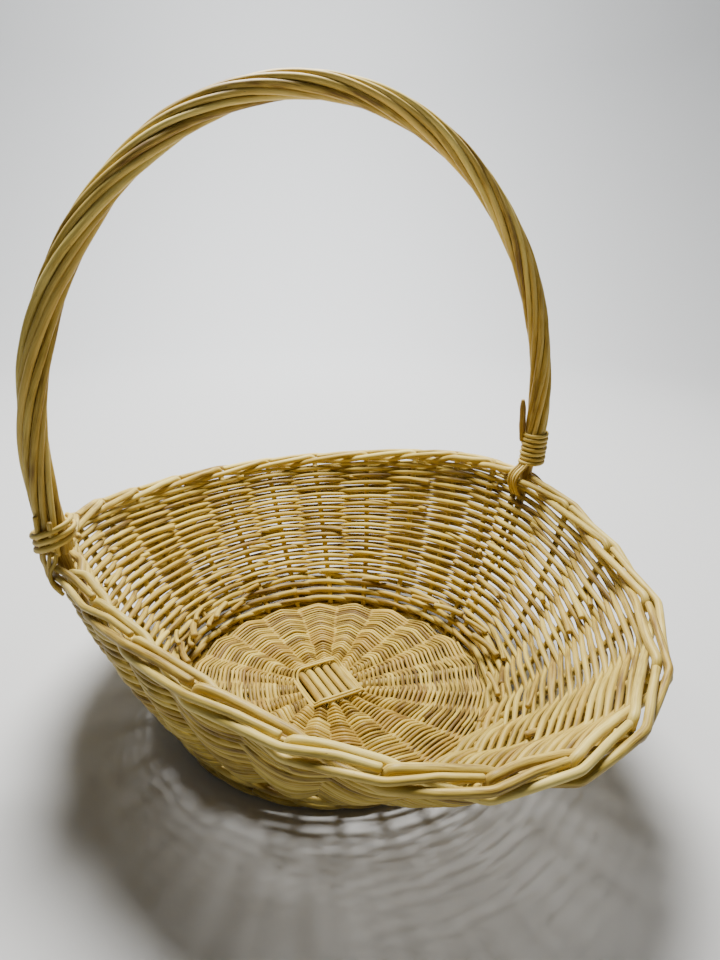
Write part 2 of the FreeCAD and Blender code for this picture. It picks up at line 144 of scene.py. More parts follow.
class Rods:
    """Collects many rods in one mesh, each its own closed tube, with the data that the willow material reads."""

    def __init__(self, name):
        self.name = name
        self.v, self.f, self.grain, self.tint, self.cut = [], [], [], [], []
        self.n = 0

    def add(self, P, r, ref, sides=10, tint=None, knots=0.0, rough=0.02, bevel=0.35, squash=None, grow=1.0):
        P = np.asarray(P, float)
        n = len(P)
        r = np.full(n, float(r)) if np.isscalar(r) else np.asarray(r, float).copy()
        ref = np.asarray(ref, float)
        if ref.ndim == 1:
            ref = np.tile(ref, (n, 1))
        T = np.gradient(P, axis=0)
        T /= np.linalg.norm(T, axis=1, keepdims=True)
        X = ref - T * (T * ref).sum(1, keepdims=True)
        X /= np.maximum(np.linalg.norm(X, axis=1, keepdims=True), 1e-9)
        Y = np.cross(T, X)
        s = arc_length(P)
        sd = rng.uniform(0, 50)
        if tint is None:
            tint = pick_tint()
        a = np.arange(sides) / sides * TAU + rng.uniform(0, TAU)
        rad = r[:, None] * (1 + rough * noise1(s, 11.0, sd)[:, None] + rough * 0.8 * np.cos(a[None] + sd + s[:, None] / 19.0))
        if knots > 0:
            p = rng.uniform(0.2, 1.0) * 30.0
            while p < s[-1]:
                ang = rng.uniform(0, TAU)
                hgt = knots * rng.uniform(0.5, 1.2)
                side = np.clip(np.cos(a - ang), 0, 1) ** 2
                rad += r[:, None] * hgt * np.exp(-((s[:, None] - p) / (r.mean() * 0.9)) ** 2) * (0.25 + 0.75 * side[None])
                p += rng.uniform(0.6, 1.5) * 42.0 * grow
        sx = 1.0 if squash is None else squash
        ring = P[:, None] + rad[..., None] * (np.cos(a)[None, :, None] * X[:, None] * sx + np.sin(a)[None, :, None] * Y[:, None])
        g = np.stack([np.cos(a)[None] * r[:, None], np.sin(a)[None] * r[:, None], np.broadcast_to(s[:, None], (n, sides))], -1)
        # rounded cut ends: one smaller ring past each end, then a centre point
        def cap(i, sgn):
            c = P[i] + T[i] * sgn * bevel * r[i]
            rr = ring[i] - P[i]
            return c + rr * 0.78, P[i] + T[i] * sgn * bevel * r[i] * 1.15
        c0, m0 = cap(0, -1)
        c1, m1 = cap(n - 1, 1)
        V = np.concatenate([[m0], c0, ring.reshape(-1, 3), c1, [m1]])
        G = np.concatenate([[[0, 0, -r[0]]], g[0] * [0.78, 0.78, 1], g.reshape(-1, 3), g[-1] * [0.78, 0.78, 1], [[0, 0, s[-1] + r[-1]]]])
        C = np.concatenate([[1.0], np.full(sides, 0.85), np.zeros(n * sides), np.full(sides, 0.85), [1.0]])
        base = self.n
        rows = n + 2
        st = base + 1
        i = np.arange(rows - 1)[:, None] * sides
        j = np.arange(sides)[None]
        k = (j + 1) % sides
        quads = np.stack([st + i + j, st + i + k, st + i + sides + k, st + i + sides + j], -1).reshape(-1, 4)
        jj = np.arange(sides)
        kk = (jj + 1) % sides
        t0 = np.stack([np.full(sides, base), st + kk, st + jj], -1)
        last = st + (rows - 1) * sides
        t1 = np.stack([np.full(sides, last + sides), last + jj, last + kk], -1)
        self.v.append(V)
        self.f.append((quads, np.concatenate([t0, t1])))
        G = G + np.array([sd * 3.1, sd * 1.7, 0])
        self.grain.append(G)
        self.tint.append(np.full((len(V), 3), tint, float))
        self.cut.append(C)
        self.n += len(V)

    def build(self, material, slot, replaces=()):
        V = (np.concatenate(self.v) * MM).astype(np.float32)
        quads = np.concatenate([q for q, t in self.f])
        tris = np.concatenate([t for q, t in self.f])
        me = bpy.data.meshes.new(self.name)
        me.vertices.add(len(V))
        me.vertices.foreach_set("co", V.ravel())
        loops = np.concatenate([quads.ravel(), tris.ravel()]).astype(np.int32)
        me.loops.add(len(loops))
        me.loops.foreach_set("vertex_index", loops)
        starts = np.concatenate([np.arange(len(quads)) * 4, len(quads) * 4 + np.arange(len(tris)) * 3]).astype(np.int32)
        me.polygons.add(len(starts))
        me.polygons.foreach_set("loop_start", starts)
        me.polygons.foreach_set("use_smooth", np.ones(len(starts), bool))
        me.update(calc_edges=True)
        for nm, dat in (("grain", np.concatenate(self.grain)), ("tint", np.concatenate(self.tint))):
            at = me.attributes.new(nm, "FLOAT_VECTOR", "POINT")
            at.data.foreach_set("vector", dat.astype(np.float32).ravel())
        at = me.attributes.new("cut", "FLOAT", "POINT")
        at.data.foreach_set("value", np.concatenate(self.cut).astype(np.float32))
        me.validate()
        ob = bpy.data.objects.new(self.name, me)
        bpy.context.scene.collection.objects.link(ob)
        me.materials.append(material)
        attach(ob, "root")
        if replaces:
            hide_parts(*replaces)
        return ob


def pick_tint(red=0.05):
    """(lightness shift, warmth, brown) for one rod."""
    brown = rng.uniform(0.3, 0.65) if rng.rand() < red else rng.uniform(0, 0.10)
    return (rng.normal(0, 1.0), rng.normal(0, 1.0), brown)


# ------------------------------------------------------------------ willow material
def willow(name, light, mid, dark, rough=0.47, speck=0.5, bump=0.25):
    m = bpy.data.materials.new(name)
    m.use_nodes = True
    nt = m.node_tree
    nt.nodes.clear()
    N = nt.nodes.new
    L = nt.links.new
    out = N("ShaderNodeOutputMaterial")
    bsdf = N("ShaderNodeBsdfPrincipled")
    L(bsdf.outputs["BSDF"], out.inputs["Surface"])
    grain = N("ShaderNodeAttribute"); grain.attribute_name = "grain"
    tint = N("ShaderNodeAttribute"); tint.attribute_name = "tint"
    cut = N("ShaderNodeAttribute"); cut.attribute_name = "cut"
    sep = N("ShaderNodeSeparateXYZ"); L(tint.outputs["Vector"], sep.inputs[0])

    def mapped(scale):
        mp = N("ShaderNodeMapping")
        mp.inputs["Scale"].default_value = scale
        L(grain.outputs["Vector"], mp.inputs["Vector"])
        return mp.outputs["Vector"]

    def noise(scale, detail=3.0, rough_=0.55):
        t = N("ShaderNodeTexNoise")
        t.inputs["Scale"].default_value = 1.0
        t.inputs["Detail"].default_value = detail
        t.inputs["Roughness"].default_value = rough_
        L(mapped(scale), t.inputs["Vector"])
        return t.outputs["Fac"]

    def math_(op, a, b, clamp=False):
        n = N("ShaderNodeMath"); n.operation = op; n.use_clamp = clamp
        for i, x in enumerate((a, b)):
            if isinstance(x, (int, float)):
                n.inputs[i].default_value = x
            else:
                L(x, n.inputs[i])
        return n.outputs[0]

    def mix(fac, a, b, mode="MIX"):
        n = N("ShaderNodeMix"); n.data_type = "RGBA"; n.blend_type = mode
        for sock, x in ((n.inputs[0], fac), (n.inputs[6], a), (n.inputs[7], b)):
            if isinstance(x, (int, float)):
                sock.default_value = x
            elif isinstance(x, tuple):
                sock.default_value = (*x, 1.0)
            else:
                L(x, sock)
        return n.outputs[2]

    streak = noise((0.9, 0.9, 0.045), 4.0, 0.6)      # long fibres
    fine = noise((3.2, 3.2, 0.12), 3.0, 0.6)         # fine fibres
    blotch = noise((0.10, 0.10, 0.028), 2.0, 0.5)    # slow changes along the rod
    # lightness from streaks, blotches and the rod's own tint
    l1 = math_("MULTIPLY", math_("SUBTRACT", streak, 0.5), 1.5)
    l2 = math_("MULTIPLY", math_("SUBTRACT", blotch, 0.5), 1.5)
    l3 = math_("MULTIPLY", sep.outputs[0], 0.16)
    l4 = math_("MULTIPLY", math_("SUBTRACT", fine, 0.5), 0.7)
    lf = math_("ADD", math_("ADD", l1, l2), math_("ADD", l3, l4))
    lf = math_("ADD", lf, 0.52, True)
    ramp = N("ShaderNodeValToRGB")
    e = ramp.color_ramp.elements
    e[0].position, e[0].color = 0.0, (*dark, 1)
    e[1].position, e[1].color = 1.0, (*light, 1)
    mm = e.new(0.45); mm.color = (*mid, 1)
    L(lf, ramp.inputs["Fac"])
    col = ramp.outputs["Color"]
    # warmth: some rods greener or more golden
    warm = math_("ADD", math_("MULTIPLY", sep.outputs[1], 0.11), 0.14, True)
    col = mix(warm, col, (0.86, 0.66, 0.36), "MULTIPLY")
    # a few brown rods
    col = mix(math_("MULTIPLY", sep.outputs[2], 0.75, True), col, (0.30, 0.165, 0.032), "MIX")
    # small dark flecks, stretched along the rod
    vor = N("ShaderNodeTexVoronoi")
    vor.inputs["Scale"].default_value = 1.0
    L(mapped((0.42, 0.42, 0.11)), vor.inputs["Vector"])
    fl = math_("LESS_THAN", vor.outputs["Distance"], 0.085)
    keep = math_("GREATER_THAN", noise((0.05, 0.05, 0.05), 1.0), 0.50)
    fl = math_("MULTIPLY", math_("MULTIPLY", fl, keep), speck)
    col = mix(fl, col, (0.20, 0.11, 0.045))
    # cut ends: pale wood, a little darker at the heart
    col = mix(math_("MULTIPLY", cut.outputs["Fac"], 0.75, True), col, (0.46, 0.32, 0.105))
    L(col, bsdf.inputs["Base Color"])
    rg = math_("ADD", math_("MULTIPLY", fine, 0.24), rough - 0.05)
    L(rg, bsdf.inputs["Roughness"])
    bsdf.inputs["Specular IOR Level"].default_value = 0.34
    bsdf.inputs["Sheen Weight"].default_value = 0.06
    bsdf.inputs["Sheen Roughness"].default_value = 0.5
    bm = N("ShaderNodeBump")
    bm.inputs["Strength"].default_value = bump
    bm.inputs["Distance"].default_value = 0.0003
    h = math_("ADD", math_("MULTIPLY", streak, 0.6), math_("MULTIPLY", fine, 0.5))
    h = math_("SUBTRACT", h, math_("MULTIPLY", fl, 0.6))
    L(h, bm.inputs["Height"])
    L(bm.outputs["Normal"], bsdf.inputs["Normal"])
    return m


MAT_WEAVE = willow("willow_weaver", (0.68, 0.530, 0.120), (0.46, 0.330, 0.048), (0.14, 0.080, 0.010))
MAT_BORDER = willow("willow_border", (0.74, 0.600, 0.170), (0.52, 0.385, 0.070), (0.19, 0.113, 0.016), rough=0.42, speck=0.8)
# the handle willow is painted lighter than the weaver willow: painted light, standing in for the light that falls on
# the top of the handle
MAT_HANDLE_PAINTED_LIGHT = willow("willow_handle", (0.82, 0.655, 0.185), (0.59, 0.430, 0.082), (0.19, 0.108, 0.014), rough=0.45, speck=0.7)
MAT_BASE = willow("willow_stick", (0.58, 0.450, 0.100), (0.38, 0.268, 0.038), (0.13, 0.073, 0.008), rough=0.5, speck=0.8)
MAT_WALE = willow("willow_waling", (0.58, 0.445, 0.095), (0.37, 0.256, 0.034), (0.12, 0.066, 0.007), rough=0.47, speck=0.8)

# ------------------------------------------------------------------ base
SPOKE_Z = 5.5
STICK_R = 3.2


def spoke_ends():
    """For the twenty half sticks: slath edge, spoke end, slath height. In order of angle."""
    items = []
    for i in range(-2, 3):
        off = i * 7.5
        for ang, ax, ay, z in ((90 - 18 * i, off, 20.5, 9.95), (270 + 18 * i, off, -20.5, 9.95),
                               (18 * i, 20.5, off, 3.35), (180 - 18 * i, -20.5, off, 3.35)):
            a = math.radians(ang)
            e = np.array([124.2 * math.cos(a), BASE_CY + 124.2 * math.sin(a)])
            items.append((ang % 360, SLATH_C + np.array([ax, ay]), e, z))
    items.sort(key=lambda q: q[0])
    return items


SPOKES = spoke_ends()
NS = len(SPOKES)
A_PT = np.array([q[1] for q in SPOKES])
E_PT = np.array([q[2] for q in SPOKES])
Z_SL = np.array([q[3] for q in SPOKES])
wob = rng.normal(0, 1.3, (NS, 2))


def spoke_xy(k, v):
    bend = np.sin(np.pi * np.clip(v, 0, 1))[..., None] * wob[k]
    return A_PT[k] + (E_PT[k] - A_PT[k]) * np.asarray(v)[..., None] + bend


def spoke_z(k, v):
    return SPOKE_Z + (Z_SL[k] - SPOKE_Z) * np.exp(-np.asarray(v) / 0.07)


over, under = Rods("base_sticks_over_rods"), Rods("base_sticks_under_rods")
for i in range(-2, 3):
    for is_over in (True, False):
        a1 = (90 - 18 * i) % 360 if is_over else (18 * i) % 360
        a2 = (270 + 18 * i) % 360 if is_over else (180 - 18 * i) % 360
        k1 = [n for n, q in enumerate(SPOKES) if abs(q[0] - a1) < 0.1][0]
        k2 = [n for n, q in enumerate(SPOKES) if abs(q[0] - a2) < 0.1][0]
        vv = np.linspace(1.0, 0.0, 26)
        h1 = np.concatenate([spoke_xy(k1, vv), spoke_z(k1, vv)[:, None]], 1)
        h2 = np.concatenate([spoke_xy(k2, vv[::-1]), spoke_z(k2, vv[::-1])[:, None]], 1)
        P = path(np.concatenate([h1, h2]), 3.0, 2.5)
        s = np.linspace(0, 1, len(P))
        r = STICK_R + rng.uniform(-0.15, 0.25) - 0.5 * np.abs(s - 0.5)
        if rng.rand() < 0.5:
            r = r[::-1]
        (over if is_over else under).add(P, r, (0, 0, 1), sides=14, knots=0.05, rough=0.03, tint=(rng.normal(0.1, 1.1), rng.normal(0, 1), rng.uniform(0, 0.2)))
over.build(MAT_BASE, "willow_stick", ["base_sticks_over"])
under.build(MAT_BASE, "willow_stick", ["base_sticks_under"])


def closed_interp(vals, j):
    """Smooth closed curve through vals (NS x dims) at continuous index j."""
    n = len(vals)
    i = np.floor(j).astype(int)
    f = (j - i)[:, None]
    p0, p1, p2, p3 = (vals[(i + k) % n] for k in (-1, 0, 1, 2))
    return 0.5 * (2 * p1 + (p2 - p0) * f + (2 * p0 - 5 * p1 + 4 * p2 - p3) * f * f + (3 * p1 - p0 - 3 * p2 + p3) * f ** 3)


pairing = Rods("base_pairing_rods")
ROUNDS = 26
PER = 10
for strand in (0, 1):
    # one long spiral, cut into rods of about one metre that taper and overlap
    j_end = ROUNDS * NS
    j = 0.0 + strand * 3
    while j < j_end:
        v_here = 0.05 + 0.95 * j / j_end
        circ = TAU * (24 + 100 * v_here)
        length = rng.uniform(700, 1100)
        j2 = min(j_end, j + length / circ * NS)
        jj = np.arange(j, j2 + 1.3, 1.0 / PER)
        jj = jj[jj <= j_end]
        if len(jj) < 6:
            break
        v = 0.045 + (1.0 - 0.045) * jj / j_end
        k = np.floor(jj).astype(int)
        g = (jj - k)[:, None]
        # points of the neighbouring spokes at this fraction, smoothly joined
        Q = [spoke_xy((k + m) % NS, v) for m in (-1, 0, 1, 2)]
        ZQ = [spoke_z((k + m) % NS, v)[:, None] for m in (-1, 0, 1, 2)]

        def cr(p0, p1, p2, p3):
            curve = 0.5 * (2 * p1 + (p2 - p0) * g + (2 * p0 - 5 * p1 + 4 * p2 - p3) * g * g + (3 * p1 - p0 - 3 * p2 + p3) * g ** 3)
            return 0.25 * curve + 0.75 * (p1 * (1 - g) + p2 * g)      # straight from spoke to spoke, with a kink on each

        xy, z = cr(*Q), cr(*ZQ)[:, 0]
        cen = np.array([0.0, BASE_CY]) * v[:, None] + SLATH_C * (1 - v[:, None])
        o = xy - cen
        o /= np.linalg.norm(o, axis=1, keepdims=True)
        ph = np.pi * (jj + strand)
        s = np.linspace(0, 1, len(jj))
        rr = (1.58 - 0.42 * s) * (1 + 0.08 * rng.normal())
        amp = STICK_R + rr - 0.35
        wave = 0.45 * np.cos(ph) + 0.55 * (2 * np.abs(((jj + strand) % 2.0) - 1.0) - 1.0)
        xy = xy + o * (1.1 * np.sin(ph) + 0.4 * noise1(jj, 1.7, j))[:, None]
        z = z + amp * wave + 0.25 * noise1(jj, 1.1, j + 5)
        z = np.maximum(z, rr + 0.15)
        P = np.concatenate([xy, z[:, None]], 1)
        t3 = pick_tint(0.05)
        pairing.add(P, rr, (0, 0, 1), sides=9, rough=0.02, tint=(t3[0] * 1.2 - 0.9, t3[1], t3[2] + 0.05))
        j = j2
pairing.build(MAT_WEAVE, "willow_weaver", ["base_pairing"])

tie = Rods("slath_tie_rods")
for half, zy, zx, r in ((20.6, 14.55, 7.95, 1.2), (23.2, 14.2, 7.9, 1.15), (22.4, 5.3, 7.6, 1.1)):
    n = 72
    a = TAU * (np.arange(n + 1) + 0.5) / n * 1.0 + math.pi / 4 + rng.uniform(-0.2, 0.2)
    c, s = np.cos(a), np.sin(a)
    m = (np.abs(c) ** 7 + np.abs(s) ** 7) ** (-1.0 / 7)
    w = np.clip((np.abs(s) - np.abs(c)) * 2.2 + 0.55, 0, 1)
    w = w * w * (3 - 2 * w)
    P = np.stack([SLATH_C[0] + half * m * c, SLATH_C[1] + half * 1.12 * m * s, zx + (zy - zx) * w + 0.02 * a], -1)
    tie.add(path(P, 1.2, 1.6), r, (0, 0, 1), sides=9, tint=(0.6, 0.3, 0.05))
tie.build(MAT_WEAVE, "willow_weaver", ["slath_tie"])

# ------------------------------------------------------------------ border and stakes: each rod is one stake that rolls on into the border
KN = STAKE_TOP.copy()
KN[12], KN[25] = 180.0, 360.0


def rim_deg(j):
    """Continuous stake number on the rim to degrees."""
    k = np.floor(j).astype(int)
    g = j - k
    a0 = KN[k % K] + 360.0 * np.floor_divide(k, K)
    a1 = KN[(k + 1) % K] + 360.0 * np.floor_divide(k + 1, K)
    return a0 + (a1 - a0) * g


def foot_gap(deg):
    d = np.minimum(np.abs((deg + 180) % 360 - 180), np.abs((deg - 180 + 180) % 360 - 180))
    return np.radians(d) * 194.0


LANE_S = np.array([0, 0.5, 1, 1.5, 2, 2.5, 3, 3.5, 4.0])
LANE_O = np.array([-0.4, -3.9, -6.7, -0.4, 6.2, 7.2, 7.5, 2.9, 0.6])
LANE_U = np.array([3.9, 3.1, 1.2, -3.6, -4.3, -1.0, 2.3, 3.9, 3.4])
lane_jit = rng.normal(0, 1.0, (K, len(LANE_S), 2))


def lane_point(j, k, extra_o=0.0, extra_u=0.0):
    """Rod k in the border at continuous stake number j: straight runs from stake to stake."""
    j = np.asarray(j, float)
    s = j - k
    o = np.interp(s, LANE_S, LANE_O + lane_jit[k, :, 0] * 0.55)
    u = np.interp(s, LANE_S, LANE_U + lane_jit[k, :, 1] * 0.35)
    deg = rim_deg(j)
    p, d, out, up = rim_frame(deg)
    # chord between the two stakes: the rods run straight and kink at each stake
    j0 = np.floor(j)
    pa = rim_frame(rim_deg(j0))[0]
    pb = rim_frame(rim_deg(j0 + 1))[0]
    f = (j - j0)[..., None]
    lin = pa * (1 - f) + pb * f
    c = p * 0.22 + lin * 0.78
    fd = foot_gap(deg)
    o = o + np.sign(o) * 2.6 * np.exp(-(fd / 14.0) ** 2)
    left = np.radians(np.abs((deg % 360) - 183.0)) * 194.0
    u = u + 3.2 * np.exp(-(left / 24.0) ** 2)
    return c + out * (o + extra_o)[..., None] + up * (u + extra_u)[..., None]


def stake_wall_points(k):
    uu = np.array([0.0, 0.08, 0.18, 0.3, 0.42, 0.55, 0.68, 0.80, 0.90])
    ang = np.radians(stake_angle(np.full(len(uu), float(k)), uu))
    P, N = wall(ang, uu)
    P = P + N * rng.normal(0, 0.25, (len(uu), 1))
    foot = P[0].copy()
    start = np.array([foot[0] * 0.985, BASE_CY + (foot[1] - BASE_CY) * 0.985, 5.0])
    return np.concatenate([[start], P])


groups = {"stakes_right": [], "stakes_back": [], "stakes_left": [], "stakes_front": []}
gnames = list(groups)
for k in range(K):
    groups[gnames[int(((STAKE_TOP[k] + 45) % 360) // 90)]].append(k)
for nm in gnames:
    R = Rods(nm + "_rods")
    for k in groups[nm]:
        a = STAKE_TOP[k]
        c, d, out, up = rim_frame(np.array([a]))
        c, d, out, up = c[0], d[0], out[0], up[0]
        jit = rng.normal(0, 0.4)
        pts = list(stake_wall_points(k))
        pts += [c - up * 6.0, c - up * 1.2, c + up * 2.6 + d * 0.7, c + up * 3.9 + d * 4.0 + out * jit * 0.3]
        mm_per = periodic(RIM_R, math.radians(a)) * math.pi / 180
        jstart = float(k) + 0.28
        if k in (12, 25):
            jstart = float(k) + 0.45
        jj = np.concatenate([[jstart], np.arange(math.ceil((jstart - k) * 8) / 8 + k, k + 3.9, 0.125), [k + 3.93 + rng.uniform(-0.02, 0.02)]])
        B = lane_point(jj, k)
        P = path(np.concatenate([pts, B]), 1.9, 2.4)
        s = arc_length(P)
        L = s[-1]
        r0 = 2.86 + rng.normal(0, 0.15)
        r = np.interp(s, [0, 120, 150, L], [2.55, 2.6, r0, r0 - 0.45])
        ref = np.tile(up, (len(P), 1))
        # the reference turns from outwards (in the wall) to up (in the border)
        q = np.clip((s - 130) / 40, 0, 1)[:, None]
        ang = np.arctan2(P[:, 1], P[:, 0])
        radial = np.stack([np.cos(ang), np.sin(ang), np.zeros(len(P))], -1)
        ref = radial * (1 - q) + np.array([0, 0, 1.0]) * q + radial * 0.2
        R.add(P, r, ref, sides=16, knots=0.045, rough=0.022, tint=(rng.normal(0.2, 0.9), rng.normal(0, 0.9), rng.uniform(0, 0.08)))
    R.build(MAT_BORDER, "willow_border", [nm])

# ------------------------------------------------------------------ siding: single weavers, in front of one stake and behind the next
ROWS = 33
PERG = 12
NJ = K * PERG
Jgrid = np.arange(NJ) / PERG
splice = rng.uniform(0, K, ROWS)
for i in range(1, ROWS):       # keep neighbouring splices apart
    while abs((splice[i] - splice[i - 1] + K / 2) % K - K / 2) < 3:
        splice[i] = rng.uniform(0, K)
splice = np.floor(splice)
r_butt = rng.uniform(2.3, 2.65, ROWS)
r_tip = rng.uniform(1.75, 2.0, ROWS)
diam = np.zeros((ROWS, NJ))
for i in range(ROWS):
    ph = ((Jgrid - splice[i]) % K) / K
    diam[i] = 2 * (r_butt[i] + (r_tip[i] - r_butt[i]) * ph)
kern = np.exp(-0.5 * (np.arange(-18, 19) / 7.0) ** 2)
kern /= kern.sum()
sm = np.stack([np.convolve(np.concatenate([row[-18:], row, row[:18]]), kern, "valid") for row in diam])
slack = 1.0 + 0.35 * np.stack([noise1(Jgrid * 1.0, 1.4 + 0.3 * (i % 3), i * 1.7) for i in range(ROWS)])
sm = sm * np.clip(slack * 0.25 + 0.75, 0.6, 1.6)
H = (np.cumsum(sm, 0) - sm * 0.5) / sm.sum(0)
# the seam at j = K: make the height noise meet itself
blendw = np.clip((Jgrid - (K - 2)) / 2, 0, 1)
H = H * (1 - blendw) + H[:, :1] * blendw
tints = [pick_tint(0.05) for _ in range(ROWS)]


def row_height(i, j):
    """u of row i at continuous stake number j."""
    x = (j % K) * PERG
    a = np.floor(x).astype(int) % NJ
    f = x - np.floor(x)
    h = H[i][a] * (1 - f) + H[i][(a + 1) % NJ] * f
    u0 = 0.122
    deg = stake_angle(j, 0.9)
    zt = periodic(RIM_Z, np.radians(deg))
    u1 = 1.0 - 5.2 / (zt - BASE_Z)
    return u0 + (u1 - u0) * h


bands = {"siding_lower": (0, 11), "siding_middle": (11, 22), "siding_upper": (22, 33)}
for nm, (i0, i1) in bands.items():
    R = Rods(nm + "_rods")
    for i in range(i0, i1):
        j0 = splice[i]
        over_n = rng.uniform(0.9, 1.6)
        jj = np.arange(j0 - 0.42, j0 + K + over_n, 1.0 / PERG)
        ph = (jj - j0) / K
        rr = r_butt[i] + (r_tip[i] - r_butt[i]) * np.clip(ph, 0, 1.1)
        u = row_height(i, jj)
        deg = stake_angle(jj, u)
        rr = rr * (1 + 0.14 * np.exp(-(((deg - 176 + 180) % 360 - 180) / 24.0) ** 2))
        sign = 1.0 if i % 2 == 0 else -1.0
        # start inside the wall whatever the row's turn is
        c = np.cos(np.pi * jj)
        amp = 2.2 + 0.85 * rr
        fd = foot_gap(deg)
        amp = amp + 1.2 * np.exp(-(fd / 9.0) ** 2) * np.clip((u - 0.45) / 0.4, 0, 1)
        off = sign * amp * np.sign(c) * np.abs(c) ** 1.05
        rr = rr * (0.83 + 0.22 * np.abs(c))
        # butt end rests on the inside and stands a little proud; the tip slips inside too
        qb = np.clip(1 - (jj - jj[0]) / 0.5, 0, 1)
        off = off * (1 - qb) + qb * (-amp - 0.6)
        qt = np.clip(1 - (jj[-1] - jj) / 0.7, 0, 1)
        off = off * (1 - qt) + qt * (-amp * 0.9)
        du = (qt - qb * 0.6) * (rr + 1.2) / 140.0
        wob2 = 0.30 * noise1(jj, 0.9, i * 3.3)
        P, N = wall(np.radians(deg), u + du, 0.0)
        P = P + N * (off + 0.18 * noise1(jj, 0.6, i))[:, None]
        P[:, 2] += wob2
        R.add(P, rr, N, sides=10, rough=0.025, knots=0.05, grow=1.5, tint=tints[i])
    R.build(MAT_WEAVE, "willow_weaver", [nm])

# ------------------------------------------------------------------ upsett: three-rod wale, in front of two stakes and behind one
R = Rods("upsett_wale_rods")
WALE_R = 2.45


def wale_round(level, m, j0, turns, r, tint=None):
    """level(j) gives u along the round. m is the rod's place among the three."""
    jj = np.arange(j0, j0 + turns, 1.0 / 10)
    x = (jj + m) % 3.0
    # inside at x = 0, outside at 1 and 2
    tab_x = np.array([0, 0.5, 1.0, 1.5, 2.0, 2.5, 3.0])
    tab_o = np.array([-1, -0.05, 0.92, 1.08, 0.92, -0.05, -1.0])
    tab_v = np.array([0.0, 1.0, 1.0, 0.1, -0.9, -1.0, 0.0])
    o = np.interp(x, tab_x, tab_o)
    v = np.interp(x, tab_x, tab_v)
    kk = np.exp(-0.5 * (np.arange(-6, 7) / 2.4) ** 2)
    kk /= kk.sum()
    pad = 6
    o = np.convolve(np.concatenate([np.full(pad, o[0]), o, np.full(pad, o[-1])]), kk, "valid")
    v = np.convolve(np.concatenate([np.full(pad, v[0]), v, np.full(pad, v[-1])]), kk, "valid")
    s = np.linspace(0, 1, len(jj))
    rr = r * (1.06 - 0.22 * s)
    u = level(jj)
    deg = stake_angle(jj, np.clip(u, 0, 1))
    P, N = wall(np.radians(deg), np.clip(u, 0, 1))
    low = np.clip(-u, 0, 1)
    P[:, 2] -= low * 100.0
    N2 = N.copy()
    N2[:, 2] *= np.clip(1 - low * 20, 0, 1)
    N2 /= np.linalg.norm(N2, axis=1, keepdims=True)
    P = P + N2 * (o * (2.6 + rr))[:, None]
    P[:, 2] += v * r * 0.62 + 0.25 * noise1(jj, 0.9, j0 + m)
    P[:, 2] = np.maximum(P[:, 2], rr + 0.25)
    R.add(P, rr, N2, sides=11, rough=0.03, knots=0.05, tint=tint or pick_tint(0.10))


# foot round at the floor, then three rounds up the wall
for base_u, j_start in ((-0.068, 1.0), (-0.002, 7.0), (0.047, 16.0), (0.098, 22.0)):
    for m in range(3):
        a = j_start + m
        for part in range(2):
            ln = K / 2 + 1.1
            wale_round(lambda jj, b=base_u, q=a: b + 0.0018 * (jj - q) / K, m, a + part * K / 2, ln, WALE_R + rng.uniform(-0.2, 0.25))
R.build(MAT_WALE, "willow_waling", ["upsett_wale"])

# cut ends of upsett rods standing out on the inside
R = Rods("upsett_butt_rods")
BUTTS = [(118, 0.10, 17, 1, 2.6), (134, 0.12, 22, 2, 2.9), (149, 0.09, 19, 0, 2.7), (163, 0.12, 23, 3, 2.8),
         (181, 0.10, 18, 1, 2.6), (338, 0.11, 20, 2, 2.8), (8, 0.10, 17, 1, 2.6)]
# smaller ends of the same rods, cut closer to the weave
SMALL = [(101, 0.13, 12, 2.5, 1.9), (110, 0.065, 13, 3, 2.1), (125, 0.075, 15, 4, 2.2), (129, 0.15, 11, 1, 1.9), (141, 0.075, 14, 5, 2.1),
         (146, 0.15, 12, 2, 2.0), (156, 0.085, 15, 4, 2.3), (171, 0.075, 13, 3, 2.0), (187, 0.12, 12, 2, 2.0), (352, 0.12, 12, 2, 1.9), (22, 0.08, 13, 3, 2.1),
         (47, 0.12, 13, 2, 2.0), (318, 0.08, 13, 2, 2.1)]
for deg, u, length, lift, r in BUTTS + SMALL:
    t = math.radians(deg)
    a, N = wall(np.array([t]), np.array([u]), -5.6 - r - 0.4)
    a = a[0]
    along = np.array([-math.sin(t), math.cos(t), 0])
    inward = np.array([-math.cos(t), -math.sin(t), 0])
    b = a + along * length * 0.75 + inward * length * 0.5 + np.array([0, 0, lift])
    start = a - along * 12 - inward * 3 + np.array([0, 0, -0.5])
    R.add(path([start, a, a + (b - a) * 0.5 + along * 0.8, b], 4.0, 1.8), r, (0, 0, 1), sides=12, knots=0.05, tint=(rng.normal(0.2, 0.8), rng.normal(), rng.uniform(0.0, 0.25)))
R.build(MAT_WALE, "willow_waling", ["upsett_butts"])


# ------------------------------------------------------------------ handle
def bow_point(z, side):
    x = HANDLE_HALF * np.sqrt(1 - ((HANDLE_ZC - z) / HANDLE_LOWER) ** 2)
    return np.stack([side * x, HANDLE_LEAN * (z - 157.0), z * np.ones_like(x)], -1)


def bow_arch():
    zl = np.linspace(160, 231.9, 24)[:-1]
    a = np.linspace(0, np.pi, 121)
    z = HANDLE_ZC + HANDLE_RISE * np.sin(a)
    top = np.stack([-HANDLE_HALF * np.cos(a), HANDLE_LEAN * (z - 157.0), z], -1)
    return np.concatenate([bow_point(zl, -1), top, bow_point(zl[::-1], 1)])


ARCH = bow_arch()
AS = arc_length(ARCH)
q = np.linspace(0, AS[-1], 300)
ARCH = np.stack([np.interp(q, AS, ARCH[:, i]) for i in range(3)], -1)
AS = arc_length(ARCH)
AT = np.gradient(ARCH, axis=0)
AT /= np.linalg.norm(AT, axis=1, keepdims=True)
AX = np.array([0, 1.0, 0]) - AT * AT[:, 1:2]
AX /= np.linalg.norm(AX, axis=1, keepdims=True)
AY = np.cross(AT, AX)


